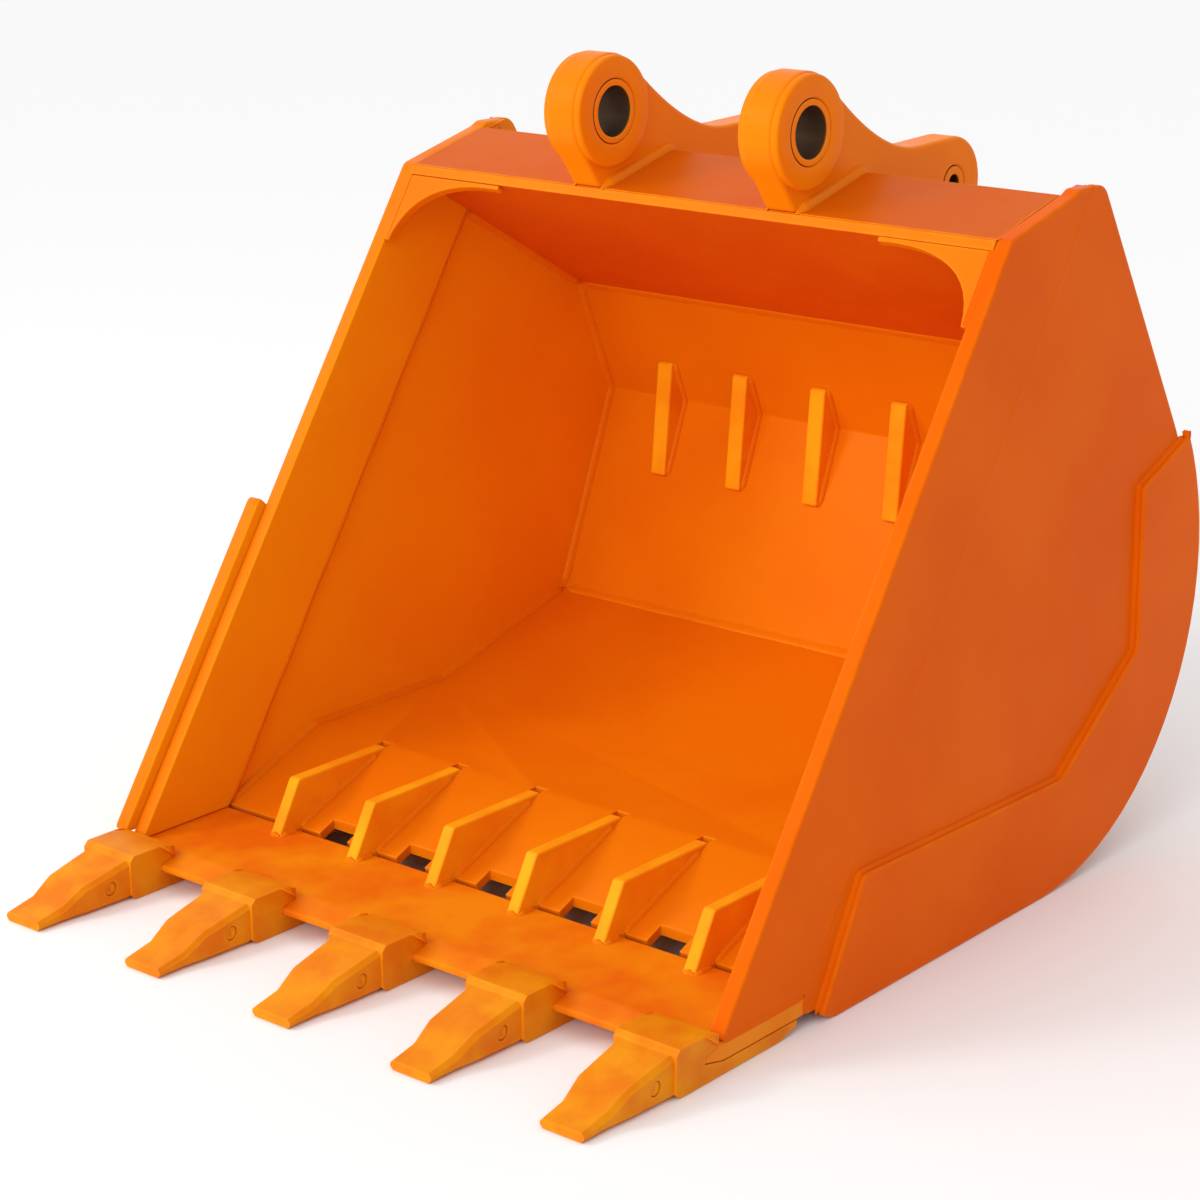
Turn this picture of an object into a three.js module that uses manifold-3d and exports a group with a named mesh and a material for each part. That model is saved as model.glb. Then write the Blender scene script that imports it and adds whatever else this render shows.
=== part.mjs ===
// Excavator digging bucket, millimetres, +Z up.
// The cutting edge faces -Y, the machine side (hinge ears) is up, +X is the right-hand side.
// Origin: middle of the width, on the ground that the heel wear plates stand on.
import * as THREE from 'three';
import { mergeVertices } from 'three/addons/utils/BufferGeometryUtils.js';
import Module from 'manifold-3d';

const wasm = await Module();
wasm.setup();
const { Manifold, Mesh } = wasm;

// ---------- driving dimensions ----------
const gap = 0.3;                 // clearance kept between pieces that touch
const bucketWidth = 1180;        // over the side plates
const mouthHeight = 1049;        // ground to the top front corner
const mouthSetback = 645;        // top front corner behind the zero line
const openingFoot = { y: -28, z: 30 };
const roundSteps = 22;           // steps along a large curve
const boreSides = 48;
const smallSides = 24;
const bendSteps = 12;

const sidePlateThickness = 16;
const sideBarThickness = 25;
const sideBarWidth = 160;
const heelPlateThickness = 12;
const heelRadius = 452;          // outside of the heel wear plates
const heelCentreY = 790;
const heelPlateProud = 16;       // wear plate edge beyond the side plate edge
const wearFrontY = 205;
const wearFootHeight = 12;
const wearFootLength = 30;
const wearTopHeight = 677;
const wearBorder = [
  { y: 1186, z: 664 }, { y: 1048, z: 609 }, { y: 1055, z: 341 }, { y: 837, z: 184 }, { y: 302, z: 196 },
];
const topCorner = { y: 880, z: 1066 };
const topCornerRadius = 34;
const topCornerStep = 14;
const cornerSteps = 5;

const lipThickness = 30;
const lipUnderside = 20;
const lipFrontY = -50;
const lipRearY = 178;
const lipBevel = 42;
const lipNose = 10;

const wrapperThickness = 16;
const tongueTip = { y: 182, z: 53 };
const drainWidth = 60;           // slots behind the lip, one between each two ribs
const drainRearY = 216;
const floorHeight = 134;
const floorFrontY = 384;
const floorRearY = 700;
const heelKnee = { y: 1035, z: 225 };
const backKnee = { y: 1173, z: 577 };
const backTop = { y: 1084, z: 784 };
const tubePlateDrop = 18;        // torque tube plate below the top front corner
const topPlateThickness = 20;
const topPlateRear = { y: 812, z: 1092 };

const ribCount = 6;
const ribEdgeSpace = 156;         // last rib to the side plate
const ribThickness = 22;
const ribFootY = 135;
const ribKneeY = 182;
const ribSetIn = 4;              // rib edge inside the side plate edge
const ribTopHeight = 690;
const ribRampEndY = 238;
const ribSplitAhead = 60;        // floor rib ends ahead of the floor's rear bend
const slotEnd = 16;              // slot in the floor past the end of the rib
const fingerTopHeight = 653;
const fingerFootHeight = 446;
const fingerProud = 10;
const fingerThickness = 32;

const gussetThickness = 16;
const gussetTopLeg = 195;
const gussetSideLeg = 120;
const gussetEnd = 8;
const gussetRound = { in: 20, down: 0 };

const earSpacing = 377;          // centre to centre
const earThickness = 54;
const collarHeight = 10;
const collarRadius = 87;
const pin = { y: 664, z: 1168 };
const pinBore = 80;
const bushWall = 10;
const bossRadius = 90;
const linkPin = { y: 1074, z: 1042 };
const linkBore = 30;
const linkBushWall = 13;
const lobeRadius = 75;
const valley = { y: 868, z: 1110 };
const valleyLength = 106;
const earFootY = 641;
const earTailHeight = 715;

const toothCount = 5;
const tipY = -284;
const tipWidth = 75;
const tipThickness = 14;
const tipLow = 1;
const pointWidth = 98;
const pointHeight = 64;
const bladeLength = 50;          // thin front of the tooth point
const bladeWidth = 81;
const bladeHeight = 25;
const crownWidth = 90;           // tooth point at the end of its socket
const crownHeight = 46;
const pointWall = 6;
const pointCorner = 7;
const noseCorner = 5;
const pinSetIn = 3;
const adapterWidth = 108;
const adapterShoulderY = -112;
const adapterHeight = 72;
const adapterGround = 1;
const adapterEdge = 8;           // cast chamfer at the shoulder
const topLegEndY = -20;
const topLegToe = 14;            // height of the top leg's rear end
const topLegSlope = 30;          // length of the slope behind the hump
const bottomLegEndY = 160;
const bottomLegToe = 8;
const bottomLegSlope = 40;
const noseLength = 78;
const noseRootDepth = 2;         // nose set into the adapter's shoulder
const noseRootWidth = 70;
const noseTipWidth = 48;
const noseRootLow = 9;
const noseRootHigh = 57;
const noseTipLow = 14;
const noseTipHigh = 40;
const pinHeight = 30;
const pinSetback = 36;           // tooth pin ahead of the shoulder
const toothPinDiameter = 22;
const toothPinClearance = 0.5;
const retainerDiameter = 32;
const retainerWidth = 9;
const noseClearance = 1;

const cutterThickness = 26;
const cutterProud = 18;
const cutterWidth = 110;
const cutterTopHeight = 548;
const cutterRearDrop = 37;       // rear top corner lower along the opening line

// ---------- finishes ----------
const paint = { color: 0xe8650a, roughness: 0.32, metalness: 0.0 };
const shadedPaint = { color: 0xdc5a0c, roughness: 0.36, metalness: 0.0 };
const pinSteel = { color: 0x8a4a1c, roughness: 0.45, metalness: 0.6 };

// ---------- helpers ----------
const group = new THREE.Group();
const halfWidth = bucketWidth / 2;
const wrapperHalf = halfWidth - sidePlateThickness - gap;

const point = (y, z) => ({ y, z });
const plus = (a, b, scale = 1) => point(a.y + b.y * scale, a.z + b.z * scale);
const minus = (a, b) => point(a.y - b.y, a.z - b.z);
const length = (a) => Math.hypot(a.y, a.z);
const unit = (a) => point(a.y / length(a), a.z / length(a));
const dot = (a, b) => a.y * b.y + a.z * b.z;
const outward = (a, b) => {
  const along = unit(minus(b, a));
  return point(along.z, -along.y);
};

function atHeight(a, b, z) {
  return point(a.y + (b.y - a.y) * (z - a.z) / (b.z - a.z), z);
}

function atPlace(a, b, y) {
  return point(y, a.z + (b.z - a.z) * (y - a.y) / (b.y - a.y));
}

// The chain moved outward by a distance, with mitred corners.
function offsetChain(chain, distance) {
  return chain.map((corner, i) => {
    const before = i > 0 ? outward(chain[i - 1], corner) : null;
    const after = i < chain.length - 1 ? outward(corner, chain[i + 1]) : null;
    if (!before) return plus(corner, after, distance);
    if (!after) return plus(corner, before, distance);
    const sum = plus(before, after);
    return plus(corner, sum, distance / (1 + dot(before, after)));
  });
}

function band(chain, thickness) {
  return [...offsetChain(chain, thickness), ...chain.slice().reverse()];
}

function arc(centre, radius, from, to, steps) {
  return Array.from({ length: steps + 1 }, (_, i) => {
    const angle = from + (to - from) * i / steps;
    return point(centre.y + radius * Math.cos(angle), centre.z + radius * Math.sin(angle));
  });
}

// Keeps the part of an outline on the side of a line that the direction points to.
function clip(outline, through, direction) {
  const side = (p) => dot(minus(p, through), direction);
  const kept = [];
  outline.forEach((p, i) => {
    const next = outline[(i + 1) % outline.length];
    const here = side(p);
    const there = side(next);
    if (here >= 0) kept.push(p);
    if (here * there < 0) kept.push(plus(p, minus(next, p), here / (here - there)));
  });
  return kept;
}

function toSolid(geometry) {
  const bare = geometry.index ? geometry.toNonIndexed() : geometry.clone();
  bare.deleteAttribute('normal');
  bare.deleteAttribute('uv');
  const merged = mergeVertices(bare, 1e-4);
  const mesh = new Mesh({
    numProp: 3,
    vertProperties: new Float32Array(merged.attributes.position.array),
    triVerts: new Uint32Array(merged.index.array),
  });
  return new Manifold(mesh);
}

function toGeometry(solid) {
  const mesh = solid.getMesh();
  const geometry = new THREE.BufferGeometry();
  geometry.setAttribute('position', new THREE.BufferAttribute(mesh.vertProperties, 3));
  geometry.setIndex(new THREE.BufferAttribute(mesh.triVerts, 1));
  return geometry;
}

// A plate of the given side outline, between two places across the width.
function plateGeometry(outline, x0, x1) {
  const shape = new THREE.Shape(outline.map((p) => new THREE.Vector2(p.y, p.z)));
  const geometry = new THREE.ExtrudeGeometry(shape, { depth: x1 - x0, bevelEnabled: false });
  const turn = new THREE.Matrix4().set(0, 0, 1, x0, 1, 0, 0, 0, 0, 1, 0, 0, 0, 0, 0, 1);
  return geometry.applyMatrix4(turn);
}

const plate = (outline, x0, x1) => toSolid(plateGeometry(outline, x0, x1));

function cylinderAcross(centre, radius, x0, x1, sides = boreSides) {
  const geometry = new THREE.CylinderGeometry(radius, radius, x1 - x0, sides);
  geometry.rotateZ(-Math.PI / 2);
  geometry.translate((x0 + x1) / 2, centre.y, centre.z);
  return toSolid(geometry);
}

function ringAcross(centre, outer, inner, x0, x1, sides = boreSides) {
  const half = (x1 - x0) / 2;
  const profile = [[inner, -half], [outer, -half], [outer, half], [inner, half], [inner, -half]];
  const geometry = new THREE.LatheGeometry(profile.map((p) => new THREE.Vector2(...p)), sides);
  geometry.rotateZ(-Math.PI / 2);
  geometry.translate((x0 + x1) / 2, centre.y, centre.z);
  return toSolid(geometry);
}

// A closed skin over rectangular sections with cut corners, each given as
// its place y, half width, lowest and highest z.
function loft(sections, corner) {
  const rings = sections.map(({ y, half, low, high }) => {
    const cut = Math.min(corner, half / 2, (high - low) / 3);
    const outline = [
      [half, low + cut], [half, high - cut], [half - cut, high], [cut - half, high],
      [-half, high - cut], [-half, low + cut], [cut - half, low], [half - cut, low],
    ];
    return outline.map(([x, z]) => [x, y, z]);
  });
  const count = rings[0].length;
  const positions = rings.flat(2);
  const index = [];
  for (let r = 0; r < rings.length - 1; r += 1) {
    for (let i = 0; i < count; i += 1) {
      const a = r * count + i;
      const b = r * count + (i + 1) % count;
      index.push(a, a + count, b, b, a + count, b + count);
    }
  }
  const last = (rings.length - 1) * count;
  for (let i = 1; i < count - 1; i += 1) {
    index.push(0, i, i + 1);
    index.push(last, last + i + 1, last + i);
  }
  const geometry = new THREE.BufferGeometry();
  geometry.setAttribute('position', new THREE.Float32BufferAttribute(positions, 3));
  geometry.setIndex(index);
  return toSolid(geometry);
}

function addPiece(name, solid, finish, x = 0) {
  const mesh = new THREE.Mesh(toGeometry(solid), new THREE.MeshStandardMaterial(finish));
  mesh.name = name;
  mesh.position.x = x;
  group.add(mesh);
}

const sides = [['left', -1], ['right', 1]];
const across = (side, inner, outer) => (side > 0 ? [inner, outer] : [-outer, -inner]);

// ---------- side outline ----------
const heelCentre = point(heelCentreY, heelRadius);
const sideRadius = heelRadius - heelPlateProud;
const mouthCorner = point(mouthSetback, mouthHeight);
const openingDown = unit(minus(openingFoot, mouthCorner));
const openingIn = point(-openingDown.z, openingDown.y);

const cornerReach = minus(topCorner, heelCentre);
const rearAngle = Math.atan2(cornerReach.z, cornerReach.y)
  - Math.acos((sideRadius - topCornerRadius) / length(cornerReach));
const lipTop = lipUnderside + lipThickness;
const sideFoot = lipTop + gap;

const sideOutline = [
  atHeight(openingFoot, mouthCorner, sideFoot),
  point(lipRearY + gap, sideFoot),
  point(lipRearY + gap, lipUnderside),
  ...arc(heelCentre, sideRadius, -Math.PI / 2, rearAngle, roundSteps),
  ...arc(topCorner, topCornerRadius, rearAngle, Math.PI / 2, cornerSteps),
  point(topPlateRear.y + topCornerStep, topCorner.z + topCornerRadius),
  topPlateRear,
  mouthCorner,
];
const barLine = plus(mouthCorner, openingIn, sideBarWidth);

for (const [label, side] of sides) {
  const behind = clip(sideOutline, plus(barLine, openingIn, gap), openingIn);
  const ahead = clip(sideOutline, barLine, point(-openingIn.y, -openingIn.z));
  const plateSpan = across(side, halfWidth - sidePlateThickness, halfWidth);
  const barSpan = across(side, halfWidth - sideBarThickness, halfWidth);
  addPiece(`side_plate_${label}`, plate(behind, ...plateSpan), paint);
  addPiece(`side_bar_${label}`, plate(ahead, ...barSpan), paint);
}

// ---------- heel wear plates ----------
const wearTop = Math.asin((wearTopHeight - heelRadius) / heelRadius);
const wearOutline = [
  point(wearFrontY, wearFootHeight),
  point(wearFrontY + wearFootLength, 0),
  ...arc(heelCentre, heelRadius, -Math.PI / 2, wearTop, roundSteps),
  ...wearBorder,
];
for (const [label, side] of sides) {
  const span = across(side, halfWidth + gap, halfWidth + gap + heelPlateThickness);
  addPiece(`heel_wear_plate_${label}`, plate(wearOutline, ...span), paint);
}

// ---------- cutter on the left edge ----------
const cutterTop = atHeight(openingFoot, mouthCorner, cutterTopHeight);
const cutterFoot = atHeight(openingFoot, mouthCorner, sideFoot);
const cutterOutline = [
  plus(cutterFoot, openingIn, -cutterProud),
  plus(cutterFoot, point(cutterWidth, 0)),
  plus(plus(cutterTop, openingIn, cutterWidth), openingDown, cutterRearDrop),
  plus(cutterTop, point(-1, 0), cutterProud / openingIn.y),
];
const cutterSpan = across(-1, halfWidth + gap, halfWidth + gap + cutterThickness);
addPiece('side_cutter_left', plate(cutterOutline, ...cutterSpan), paint);

// ---------- lip plate ----------
const lipMiddle = lipUnderside + lipThickness / 2;
const lipOutline = [
  point(lipFrontY, lipMiddle - lipNose / 2),
  point(lipFrontY + lipBevel, lipUnderside),
  point(lipRearY, lipUnderside),
  point(lipRearY, lipTop),
  point(lipFrontY + lipBevel, lipTop),
  point(lipFrontY, lipMiddle + lipNose / 2),
];
addPiece('lip_plate', plate(lipOutline, -halfWidth, halfWidth), paint);

// ---------- wrapper: floor, back and torque tube ----------
const floorFront = point(floorFrontY, floorHeight);
const floorRear = point(floorRearY, floorHeight);
const tubeFront = plus(mouthCorner, openingDown, tubePlateDrop);
const barZone = [
  plus(plus(barLine, openingIn, gap), openingDown, -2 * bucketWidth),
  plus(plus(barLine, openingIn, gap), openingDown, 2 * bucketWidth),
  plus(plus(barLine, openingIn, -bucketWidth), openingDown, 2 * bucketWidth),
  plus(plus(barLine, openingIn, -bucketWidth), openingDown, -2 * bucketWidth),
];

// A full-width plate with its front corners cut clear of the side bars.
function betweenSides(outline) {
  let solid = plate(outline, -wrapperHalf, wrapperHalf);
  for (const [, side] of sides) {
    const zone = across(side, halfWidth - sideBarThickness - gap, halfWidth);
    solid = solid.subtract(plate(barZone.slice().reverse(), ...zone));
  }
  return solid;
}

const wrapper = [tongueTip, floorFront, floorRear, heelKnee, backKnee, backTop, tubeFront];
const skin = offsetChain(wrapper, wrapperThickness);
const clearSkin = offsetChain(wrapper, wrapperThickness + gap);
const HEEL = 3;
const BACK = 5;

// Direction along the chain at the mitre through one of its corners.
function mitre(corner) {
  return unit(plus(unit(minus(wrapper[corner], wrapper[corner - 1])),
    unit(minus(wrapper[corner + 1], wrapper[corner]))));
}

const back = (direction) => point(-direction.y, -direction.z);
const ribPitch = 2 * (wrapperHalf - ribEdgeSpace) / (ribCount - 1);
const ribPlaces = Array.from({ length: ribCount }, (_, i) => (i - (ribCount - 1) / 2) * ribPitch);

const floorChain = band(wrapper.slice(0, HEEL + 2), wrapperThickness);
const floorBand = clip(floorChain, wrapper[HEEL], back(mitre(HEEL)));
let floorPlate = betweenSides(floorBand);
for (const x of ribPlaces) {
  const slotHalf = ribThickness / 2 + gap;
  const slot = [
    point(0, 0), point(floorFrontY + slotEnd, 0),
    point(floorFrontY + slotEnd, 2 * floorHeight), point(0, 2 * floorHeight),
  ];
  floorPlate = floorPlate.subtract(plate(slot, x - slotHalf, x + slotHalf));
}
const drain = [
  point(0, 0), point(drainRearY, 0), point(drainRearY, 2 * floorHeight), point(0, 2 * floorHeight),
];
for (const x of ribPlaces.slice(1)) {
  const middle = x - ribPitch / 2;
  floorPlate = floorPlate.subtract(plate(drain, middle - drainWidth / 2, middle + drainWidth / 2));
}
addPiece('floor_plate', floorPlate, paint);

const backBand = clip(
  clip(band(wrapper.slice(HEEL - 1), wrapperThickness), plus(wrapper[HEEL], mitre(HEEL), gap), mitre(HEEL)),
  wrapper[BACK], back(mitre(BACK)),
);
addPiece('back_plate', betweenSides(backBand), paint);

const tubeBand = clip(
  band(wrapper.slice(BACK - 1), wrapperThickness),
  plus(wrapper[BACK], mitre(BACK), gap), mitre(BACK),
);
addPiece('torque_tube_plate', betweenSides(tubeBand), shadedPaint);

const coverChain = [mouthCorner, topPlateRear, clearSkin[BACK]];
const coverBand = [...coverChain.slice().reverse(), ...offsetChain(coverChain, topPlateThickness)];
const coverOutline = clip(coverBand, clearSkin[BACK], outward(wrapper[BACK], wrapper[BACK + 1]));
addPiece('top_plate', betweenSides(coverOutline), paint);

// ---------- ribs outside the wrapper ----------
const splitY = floorRearY - ribSplitAhead;
const ribRadius = sideRadius - ribSetIn;
const underFloor = clearSkin[1].z;
const ribBottom = heelRadius - ribRadius;
const floorRib = [
  point(ribFootY, sideFoot),
  point(lipRearY + gap, sideFoot),
  point(lipRearY + gap, lipUnderside),
  point(ribRampEndY, ribBottom),
  point(splitY, ribBottom),
  point(splitY, underFloor),
  point(floorFrontY + slotEnd / 2, underFloor),
  point(floorFrontY, floorHeight),
  point(ribKneeY, floorHeight),
];
const ribTop = (chain) => atHeight(chain[BACK - 1], chain[BACK], ribTopHeight);
const ribEdge = arc(heelCentre, ribRadius, -Math.PI / 2, rearAngle, roundSteps);
const edgeTop = ribEdge[ribEdge.length - 1];
const rearLine = point(-Math.sin(rearAngle), Math.cos(rearAngle));
const heelRib = [
  point(splitY + gap, ribBottom),
  ...ribEdge,
  plus(edgeTop, rearLine, (ribTopHeight - edgeTop.z) / rearLine.z),
  ribTop(clearSkin),
  clearSkin[BACK - 1],
  clearSkin[HEEL],
  clearSkin[HEEL - 1],
  point(splitY + gap, underFloor),
];

const inner = offsetChain(wrapper, -gap);
const fingerTop = atHeight(inner[BACK - 1], inner[BACK], fingerTopHeight);
const fingerFoot = atHeight(inner[HEEL], inner[BACK - 1], fingerFootHeight);
const finger = [
  fingerFoot,
  inner[BACK - 1],
  fingerTop,
  plus(fingerTop, outward(wrapper[BACK - 1], wrapper[BACK]), -fingerProud),
  plus(fingerFoot, outward(wrapper[HEEL], wrapper[BACK - 1]), -fingerProud),
];

ribPlaces.forEach((x, i) => {
  const span = [-ribThickness / 2, ribThickness / 2];
  const fingerSpan = [-fingerThickness / 2, fingerThickness / 2];
  addPiece(`floor_rib_${i + 1}`, plate(floorRib, ...span), paint, x);
  addPiece(`heel_rib_${i + 1}`, plate(heelRib, ...span), paint, x);
  addPiece(`back_finger_${i + 1}`, plate(finger, ...fingerSpan), paint, x);
});

// ---------- corner gussets in the mouth ----------
// Drawn in the opening plane: x across, and s down the opening line from its top.
function gussetSolid(side) {
  const sideFace = halfWidth - sideBarThickness - gap;
  const corner = { x: sideFace - gussetTopLeg, s: gussetEnd };
  const curve = new THREE.QuadraticBezierCurve(
    new THREE.Vector2(corner.x, corner.s),
    new THREE.Vector2(sideFace - gussetRound.in, gussetRound.down),
    new THREE.Vector2(sideFace - gussetEnd, gussetSideLeg),
  );
  const hollow = curve.getPoints(bendSteps).map((p) => [p.x, p.y]);
  const outline = [
    ...hollow, [sideFace, gussetSideLeg], [sideFace, -gussetEnd], [corner.x, -gussetEnd],
  ];
  const shape = new THREE.Shape(outline.map(([x, s]) => new THREE.Vector2(x * side, s)));
  const depth = { depth: gussetThickness, bevelEnabled: false };
  const geometry = new THREE.ExtrudeGeometry(shape, depth);
  const place = new THREE.Matrix4().set(
    1, 0, 0, 0,
    0, openingDown.y, openingIn.y, tubeFront.y + openingIn.y * gap,
    0, openingDown.z, openingIn.z, tubeFront.z + openingIn.z * gap,
    0, 0, 0, 1,
  );
  geometry.applyMatrix4(place);
  const above = band(offsetChain(wrapper.slice(BACK), -gap), bucketWidth / 2);
  return toSolid(geometry).subtract(plate(above, -bucketWidth, bucketWidth));
}
for (const [label, side] of sides) {
  addPiece(`corner_gusset_${label}`, gussetSolid(side), paint);
}

// ---------- hinge ears ----------
const coverTop = offsetChain(coverChain, -gap);
const tail = atHeight(clearSkin[BACK - 1], clearSkin[BACK], earTailHeight);
const earFoot = atPlace(coverTop[0], coverTop[1], earFootY);

function touchAngle(from, centre, radius, turn) {
  const reach = minus(from, centre);
  return Math.atan2(reach.z, reach.y) + turn * Math.acos(radius / length(reach));
}

function earOutline() {
  const frontTouch = touchAngle(earFoot, pin, bossRadius, -1);
  const rearTouch = touchAngle(valley, pin, bossRadius, 1);
  const lobeTouch = touchAngle(valley, linkPin, lobeRadius, -1);
  const tailTouch = touchAngle(tail, linkPin, lobeRadius, 1);
  const lobe = arc(linkPin, lobeRadius, tailTouch, lobeTouch, bendSteps);
  const boss = arc(pin, bossRadius, rearTouch, frontTouch + 2 * Math.PI, roundSteps);
  const bendStart = plus(valley, unit(minus(lobe[bendSteps], valley)), valleyLength);
  const bend = new THREE.QuadraticBezierCurve(
    new THREE.Vector2(bendStart.y, bendStart.z),
    new THREE.Vector2(valley.y, valley.z),
    new THREE.Vector2(boss[0].y, boss[0].z),
  );
  const hollow = bend.getPoints(bendSteps).slice(0, bendSteps).map((p) => point(p.x, p.y));
  return [earFoot, coverTop[1], coverTop[2], tail, ...lobe, ...hollow, ...boss];
}
const ear = earOutline();
for (const [label, side] of sides) {
  const middle = side * earSpacing / 2;
  const half = earThickness / 2;
  const front = pinBore / 2 + bushWall + gap;
  const rear = linkBore / 2 + linkBushWall + gap;
  const collar = half + collarHeight;
  const solid = plate(ear, -half, half)
    .add(cylinderAcross(pin, collarRadius, -collar, collar))
    .subtract(cylinderAcross(pin, front, -bucketWidth, bucketWidth))
    .subtract(cylinderAcross(linkPin, rear, -bucketWidth, bucketWidth));
  addPiece(`ear_${label}`, solid, paint, middle);
  const frontBush = ringAcross(pin, front - gap, pinBore / 2, -collar, collar);
  const rearBush = ringAcross(linkPin, rear - gap, linkBore / 2, -half, half);
  addPiece(`pin_bush_${label}`, frontBush, pinSteel, middle);
  addPiece(`link_bush_${label}`, rearBush, pinSteel, middle);
}

// ---------- teeth ----------
const toothPin = point(adapterShoulderY - pinSetback, pinHeight);
const noseTipY = adapterShoulderY - noseLength;
const bevelFront = point(lipFrontY - gap, lipMiddle + lipNose / 2 + gap);
const adapterOutline = [
  point(adapterShoulderY, adapterGround + adapterEdge),
  point(adapterShoulderY + adapterEdge, adapterGround),
  point(bottomLegEndY - bottomLegSlope, adapterGround),
  point(bottomLegEndY, lipUnderside - bottomLegToe),
  point(bottomLegEndY, lipUnderside - gap),
  point(lipFrontY + lipBevel, lipUnderside - gap),
  point(lipFrontY - gap, lipMiddle - lipNose / 2 - gap),
  bevelFront,
  atPlace(bevelFront, point(lipFrontY + lipBevel, sideFoot), topLegEndY),
  point(topLegEndY, sideFoot + topLegToe),
  point(topLegEndY - topLegSlope, adapterHeight),
  point(adapterShoulderY + adapterEdge, adapterHeight),
  point(adapterShoulderY, adapterHeight - adapterEdge),
];
const section = (y, width, low, high, grow = 0) => (
  { y, half: width / 2 + grow, low: low - grow, high: high + grow }
);
const noseSections = (grow) => [
  section(noseTipY - grow, noseTipWidth, noseTipLow, noseTipHigh, grow),
  section(adapterShoulderY + noseRootDepth, noseRootWidth, noseRootLow, noseRootHigh, grow),
];
const toothPitch = (bucketWidth - adapterWidth) / (toothCount - 1);
const toothPlaces = Array.from({ length: toothCount }, (_, i) => (i - (toothCount - 1) / 2) * toothPitch);

// Tooth point: a wedge from its socket to the cutting tip.
const pointSections = [
  section(tipY, tipWidth, tipLow, tipLow + tipThickness),
  section(tipY + bladeLength, bladeWidth, tipLow, bladeHeight),
  section(noseTipY - pointWall, crownWidth, tipLow, crownHeight),
  section(adapterShoulderY - gap, pointWidth, tipLow, pointHeight),
];

const noseTaper = (noseRootWidth - noseTipWidth) / noseLength;
const noseAtRetainer = (noseRootWidth - noseTaper * (pinSetback + retainerDiameter / 2)) / 2;
const retainerStart = noseAtRetainer - retainerWidth;

function adapterSolid() {
  const body = plate(adapterOutline, -adapterWidth / 2, adapterWidth / 2);
  const bore = toothPinDiameter / 2 + toothPinClearance;
  const pocket = retainerStart - gap;
  return body
    .add(loft(noseSections(0), noseCorner))
    .subtract(cylinderAcross(toothPin, bore, -adapterWidth, adapterWidth, smallSides))
    .subtract(cylinderAcross(toothPin, retainerDiameter / 2 + gap, pocket, adapterWidth, smallSides));
}

function pointSolid() {
  const bore = toothPinDiameter / 2 + toothPinClearance;
  return loft(pointSections, pointCorner)
    .subtract(loft(noseSections(noseClearance), noseCorner))
    .subtract(cylinderAcross(toothPin, bore, -adapterWidth, adapterWidth, smallSides));
}

function retainerSolid() {
  const bore = toothPinDiameter / 2 + toothPinClearance;
  return ringAcross(toothPin, retainerDiameter / 2, bore, retainerStart, noseAtRetainer, smallSides);
}

const pinHalf = pointWidth / 2 - pinSetIn;
const pinSolid = cylinderAcross(toothPin, toothPinDiameter / 2, -pinHalf, pinHalf, smallSides);
toothPlaces.forEach((x, i) => {
  addPiece(`adapter_${i + 1}`, adapterSolid(), paint, x);
  addPiece(`tooth_point_${i + 1}`, pointSolid(), paint, x);
  addPiece(`retainer_ring_${i + 1}`, retainerSolid(), pinSteel, x);
  addPiece(`tooth_pin_${i + 1}`, pinSolid, pinSteel, x);
});

// ---------- origin ----------
const leftReach = halfWidth + gap + Math.max(cutterThickness, heelPlateThickness);
const rightReach = halfWidth + gap + heelPlateThickness;
const rearReach = heelCentreY + heelRadius;
group.position.set((leftReach - rightReach) / 2, -(tipY + rearReach) / 2, 0);

export default group;
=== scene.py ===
"""Looks of an excavator digging bucket: rounded plates, cast teeth, weld beads and gloss enamel.

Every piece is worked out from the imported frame, in metres, with +Z up and the mouth facing -Y.
"""
import logging
import math
from dataclasses import dataclass
from enum import Enum
from typing import Sequence

import bmesh
import bpy
import numpy as np
from mathutils import Matrix, Vector
from mathutils.geometry import tessellate_polygon


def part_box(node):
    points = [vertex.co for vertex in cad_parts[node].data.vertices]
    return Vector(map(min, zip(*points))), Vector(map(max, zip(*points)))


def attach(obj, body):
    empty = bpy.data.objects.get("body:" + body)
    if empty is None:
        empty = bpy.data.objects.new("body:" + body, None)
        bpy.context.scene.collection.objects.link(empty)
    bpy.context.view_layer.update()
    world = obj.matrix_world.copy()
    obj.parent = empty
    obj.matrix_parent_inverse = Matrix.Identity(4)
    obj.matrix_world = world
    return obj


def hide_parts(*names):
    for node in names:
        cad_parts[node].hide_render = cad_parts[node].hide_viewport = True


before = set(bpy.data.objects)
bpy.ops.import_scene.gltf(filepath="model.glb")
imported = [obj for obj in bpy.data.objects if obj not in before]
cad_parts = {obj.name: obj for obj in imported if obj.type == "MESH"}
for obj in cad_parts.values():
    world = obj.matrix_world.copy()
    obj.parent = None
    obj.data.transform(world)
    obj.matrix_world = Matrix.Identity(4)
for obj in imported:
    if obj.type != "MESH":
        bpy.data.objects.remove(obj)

log = logging.getLogger("bucket")
Array = np.ndarray
BODY = "bucket"
PAINTED, TOOTH_PAINTED, STEEL = "orange_paint", "tooth_paint", "pin_steel"
GAP = 0.0003             # between a bush and its bore
STEEP = math.cos(math.radians(60.0))


# ---------------------------------------------------------------- reading the frame

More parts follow.
